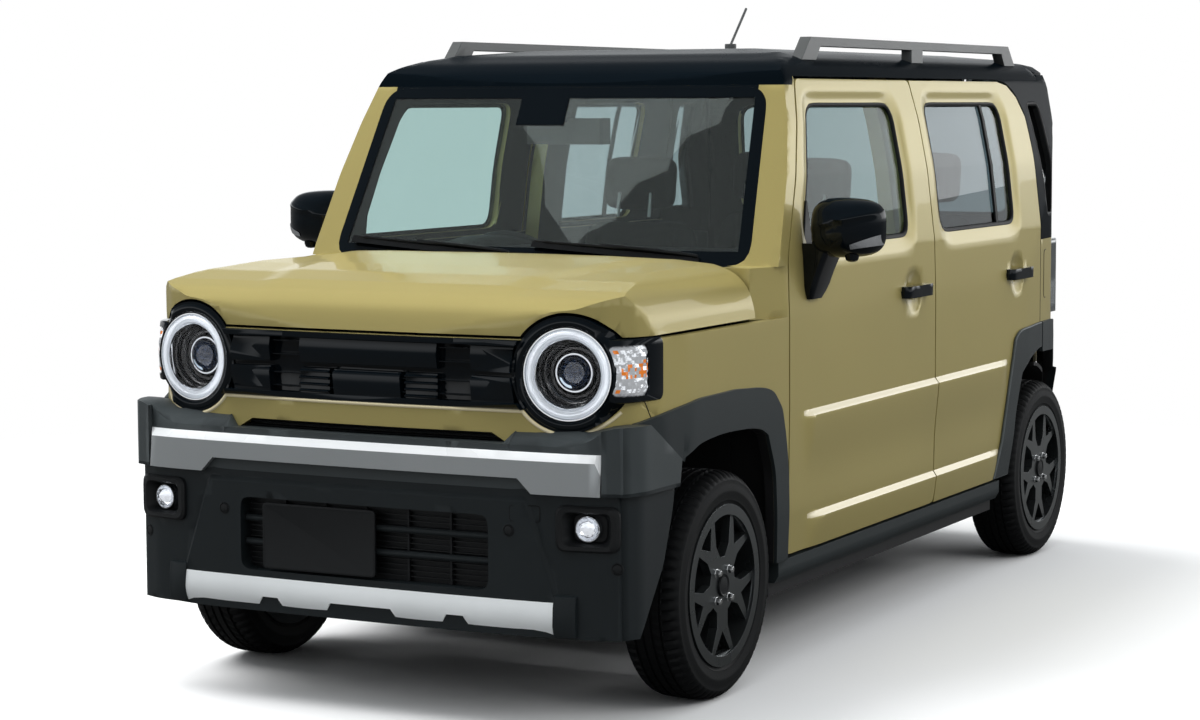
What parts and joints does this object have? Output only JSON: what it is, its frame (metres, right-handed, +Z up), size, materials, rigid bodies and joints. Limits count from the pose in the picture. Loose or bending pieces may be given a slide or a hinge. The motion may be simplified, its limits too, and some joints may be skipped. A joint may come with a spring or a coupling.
{
  "type": "kei car",
  "caption": "Small tall five-door car with round lamps, block grille, roof rails and plastic arches; wheels steer and turn, doors, bonnet and tailgate open",
  "frame": {"origin": "centre of the bounding box on the ground", "axes": "+X forward, +Y to the car's left, +Z up"},
  "size_m": [3.395, 1.864, 1.795],
  "materials": {
    "body_paint": "metallic gloss",
    "gloss_black": "gloss",
    "grey_plastic": "grained matte",
    "window_glass": "clear",
    "silver_paint": "satin",
    "lamp_glass": "clear",
    "red_lens": "gloss",
    "tyre_rubber": "matte",
    "wheel_alloy": "gunmetal",
    "seat_fabric": "woven",
    "cabin_plastic": "matte",
    "engine_metal": "cast",
    "bare_steel": "brushed",
    "under_steel": "satin black"
  },
  "bodies": {
    "body": {"floor_pan": "under_steel", "pillars": "body_paint", "front_fenders": "body_paint", "quarter_panels": "body_paint", "rear_pillars": "gloss_black", "roof": "gloss_black", "roof_rails": "grey_plastic", "cowl": "grey_plastic", "windscreen": "window_glass", "quarter_glass": "window_glass", "cabin_mirror": "grey_plastic", "nose_panel": "body_paint", "grille": "gloss_black", "front_lamps": "lamp_glass", "front_bumper": "grey_plastic", "bumper_bars": "silver_paint", "lower_grille": "grey_plastic", "front_plate": "grey_plastic", "rear_bumper": "grey_plastic", "tail_lamps": "red_lens", "claddings": "grey_plastic", "dashboard": "cabin_plastic", "seats": "seat_fabric", "engine": "engine_metal", "exhaust": "bare_steel", "front_suspension": "under_steel", "rear_axle": "under_steel", "hinges": "bare_steel"},
    "bonnet": {"bonnet": "body_paint"},
    "tailgate": {"tailgate": "body_paint", "tailgate_glass": "window_glass"},
    "steering_wheel": {"steering_wheel": "cabin_plastic"},
    "knuckle_left": {"knuckle_left": "under_steel"},
    "knuckle_right": {"knuckle_right": "under_steel"},
    "wheel_fl": {"tyre_fl": "tyre_rubber", "rim_fl": "wheel_alloy"},
    "wheel_fr": {"tyre_fr": "tyre_rubber", "rim_fr": "wheel_alloy"},
    "wheel_rl": {"tyre_rl": "tyre_rubber", "rim_rl": "wheel_alloy"},
    "wheel_rr": {"tyre_rr": "tyre_rubber", "rim_rr": "wheel_alloy"},
    "front_door_left": {"front_door_left": "body_paint", "front_glass_left": "window_glass", "mirror_left": "gloss_black"},
    "rear_door_left": {"rear_door_left": "body_paint", "rear_glass_left": "window_glass", "rear_door_arch_left": "grey_plastic"},
    "front_door_right": {"front_door_right": "body_paint", "front_glass_right": "window_glass", "mirror_right": "gloss_black"},
    "rear_door_right": {"rear_door_right": "body_paint", "rear_glass_right": "window_glass", "rear_door_arch_right": "grey_plastic"}
  },
  "joints": [
    {"name": "steer_left", "type": "hinge", "parent": "body", "child": "knuckle_left", "pos_m": [1.1375, 0.61, 0.2], "axis": [0, -0.2017, 0.9795], "range_deg": [-35, 35]},
    {"name": "steer_right", "type": "hinge", "parent": "body", "child": "knuckle_right", "pos_m": [1.1375, -0.61, 0.2], "axis": [0, 0.2017, 0.9795], "range_deg": [-35, 35]},
    {"name": "steering_wheel_turn", "type": "hinge", "parent": "body", "child": "steering_wheel", "pos_m": [0.3025, -0.33, 0.955], "axis": [-0.8829, 0, 0.4695], "range_deg": [-540, 540]},
    {"name": "wheel_fl_spin", "type": "hinge", "parent": "knuckle_left", "child": "wheel_fl", "pos_m": [1.1375, 0.6475, 0.2895], "axis": [0, 1, 0], "continuous": true},
    {"name": "wheel_fr_spin", "type": "hinge", "parent": "knuckle_right", "child": "wheel_fr", "pos_m": [1.1375, -0.6475, 0.2895], "axis": [0, 1, 0], "continuous": true},
    {"name": "wheel_rl_spin", "type": "hinge", "parent": "body", "child": "wheel_rl", "pos_m": [-1.3225, 0.65, 0.2895], "axis": [0, 1, 0], "continuous": true},
    {"name": "wheel_rr_spin", "type": "hinge", "parent": "body", "child": "wheel_rr", "pos_m": [-1.3225, -0.65, 0.2895], "axis": [0, 1, 0], "continuous": true},
    {"name": "front_door_left_hinge", "type": "hinge", "parent": "body", "child": "front_door_left", "pos_m": [0.6855, 0.713, 0.66], "axis": [0, 0, -1], "range_deg": [0, 65]},
    {"name": "front_door_right_hinge", "type": "hinge", "parent": "body", "child": "front_door_right", "pos_m": [0.6855, -0.713, 0.66], "axis": [0, 0, 1], "range_deg": [0, 65]},
    {"name": "rear_door_left_hinge", "type": "hinge", "parent": "body", "child": "rear_door_left", "pos_m": [-0.391, 0.713, 0.66], "axis": [0, 0, -1], "range_deg": [0, 65]},
    {"name": "rear_door_right_hinge", "type": "hinge", "parent": "body", "child": "rear_door_right", "pos_m": [-0.391, -0.713, 0.66], "axis": [0, 0, 1], "range_deg": [0, 65]},
    {"name": "bonnet_hinge", "type": "hinge", "parent": "body", "child": "bonnet", "pos_m": [0.8755, 0, 1.058], "axis": [0, -1, 0], "range_deg": [0, 50]},
    {"name": "tailgate_hinge", "type": "hinge", "parent": "body", "child": "tailgate", "pos_m": [-1.6175, 0, 1.603], "axis": [0, 1, 0], "range_deg": [0, 75]}
  ],
  "couplings": [
    {"joint": "steer_right", "follows": "steer_left", "ratio": 1},
    {"joint": "steering_wheel_turn", "follows": "steer_left", "ratio": 15}
  ]
}
